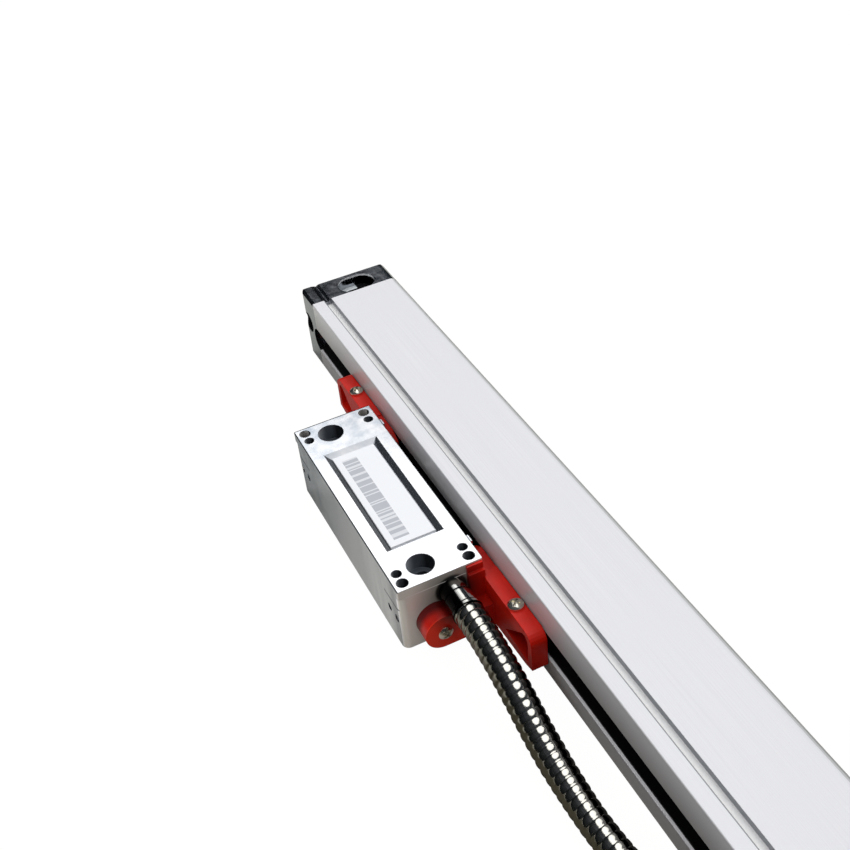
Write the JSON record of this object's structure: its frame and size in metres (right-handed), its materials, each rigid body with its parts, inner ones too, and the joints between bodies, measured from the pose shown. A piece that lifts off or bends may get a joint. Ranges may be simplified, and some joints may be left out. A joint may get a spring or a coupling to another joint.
{
  "type": "linear glass scale",
  "caption": "Enclosed linear glass scale: slotted aluminium housing with end caps, sliding reading head, red transport brackets and armoured cable with a plug.",
  "frame": {"origin": "middle of the housing's mounting face", "axes": "+X along the travel towards the cable, +Y from the slot's side to the back, +Z away from the mounting face"},
  "size_m": [0.3774, 0.1615, 0.0426],
  "materials": {
    "anodised_extrusion": "silver anodised, fine satin",
    "cast_cap": "chrome-plated die casting",
    "rubber": "matte",
    "seal_lip": "smooth black rubber",
    "steel_screw": "turned",
    "scale_glass": "polished, graduated",
    "cast_head": "chrome-plated die casting",
    "label": "printed film, blank",
    "cover_plate": "sheet",
    "black_screw": "black oxide",
    "board": "solder mask",
    "blackened_steel": "black oxide",
    "spring_steel": "drawn wire",
    "carriage_plastic": "filled plastic",
    "grating_glass": "chrome lines on glass",
    "bearing_steel": "polished",
    "red_plastic": "moulded",
    "nickel_screw": "nickel plated",
    "ferrule_steel": "turned, polished",
    "conduit_steel": "wound strip",
    "plug_metal": "metallised",
    "plug_tin": "tin plated",
    "insulator": "moulded",
    "gold_contact": "gold flashed"
  },
  "bodies": {
    "housing": {"extrusion": "anodised_extrusion", "end_cap_far": "cast_cap", "end_cap_near": "cast_cap", "gasket_far": "rubber", "gasket_near": "rubber", "cap_screws_far": "steel_screw", "cap_screws_near": "steel_screw", "lip_lower": "seal_lip", "lip_upper": "seal_lip", "glass_scale": "scale_glass", "glass_strip": "rubber"},
    "reading_head": {"head_casting": "cast_head", "label_plate": "label", "head_cover": "cover_plate", "head_screws": "steel_screw", "grub_screws": "black_screw", "circuit_board": "board", "coupling_blade": "blackened_steel", "coupling_spring": "spring_steel", "carriage": "carriage_plastic", "roller_axles": "spring_steel", "led_board": "board", "detector_board": "board", "index_grating": "grating_glass", "bracket_far": "red_plastic", "bracket_near": "red_plastic", "bracket_screws_far": "nickel_screw", "bracket_screws_near": "nickel_screw", "ferrule": "ferrule_steel", "cable_lead": "conduit_steel", "cable_coil": "conduit_steel", "cable_tail": "conduit_steel", "plug_hood": "plug_metal", "plug_sleeve": "ferrule_steel", "plug_shell": "plug_tin", "plug_insert": "insulator", "plug_pins": "gold_contact"},
    "roller_face_a_body": {"roller_face_a": "bearing_steel"},
    "roller_face_b_body": {"roller_face_b": "bearing_steel"},
    "roller_face_c_body": {"roller_face_c": "bearing_steel"},
    "roller_edge_a_body": {"roller_edge_a": "bearing_steel"},
    "roller_edge_b_body": {"roller_edge_b": "bearing_steel"},
    "thumbscrew_a_body": {"thumbscrew_a": "nickel_screw"},
    "thumbscrew_b_body": {"thumbscrew_b": "nickel_screw"}
  },
  "joints": [
    {"name": "head_travel", "type": "slide", "parent": "housing", "child": "reading_head", "axis": [1, 0, 0], "range_m": [-0.0519, 0.1181]},
    {"name": "roller_face_a_spin", "type": "hinge", "parent": "reading_head", "child": "roller_face_a_body", "pos_m": [-0.0511, 0.002, 0.01875], "axis": [0, 1, 0], "continuous": true},
    {"name": "roller_face_b_spin", "type": "hinge", "parent": "reading_head", "child": "roller_face_b_body", "pos_m": [-0.0151, 0.002, 0.01875], "axis": [0, 1, 0], "continuous": true},
    {"name": "roller_face_c_spin", "type": "hinge", "parent": "reading_head", "child": "roller_face_c_body", "pos_m": [-0.0446, 0.0086, 0.01875], "axis": [0, 1, 0], "continuous": true},
    {"name": "roller_edge_a_spin", "type": "hinge", "parent": "reading_head", "child": "roller_edge_a_body", "pos_m": [-0.0461, -0.00415, 0.01385], "axis": [0, 0, 1], "continuous": true},
    {"name": "roller_edge_b_spin", "type": "hinge", "parent": "reading_head", "child": "roller_edge_b_body", "pos_m": [-0.0201, -0.00415, 0.01385], "axis": [0, 0, 1], "continuous": true},
    {"name": "thumbscrew_a_turn", "type": "hinge", "parent": "reading_head", "child": "thumbscrew_a_body", "pos_m": [0.1471, -0.11, 0.0349], "axis": [-1, 0, 0], "continuous": true},
    {"name": "thumbscrew_b_turn", "type": "hinge", "parent": "reading_head", "child": "thumbscrew_b_body", "pos_m": [0.1471, -0.135, 0.0349], "axis": [-1, 0, 0], "continuous": true}
  ],
  "couplings": [
    {"joint": "roller_face_a_spin", "follows": "head_travel", "rad_per_m": 285.71},
    {"joint": "roller_face_b_spin", "follows": "head_travel", "rad_per_m": 285.71},
    {"joint": "roller_face_c_spin", "follows": "head_travel", "rad_per_m": 285.71},
    {"joint": "roller_edge_a_spin", "follows": "head_travel", "rad_per_m": 285.71},
    {"joint": "roller_edge_b_spin", "follows": "head_travel", "rad_per_m": 285.71}
  ]
}
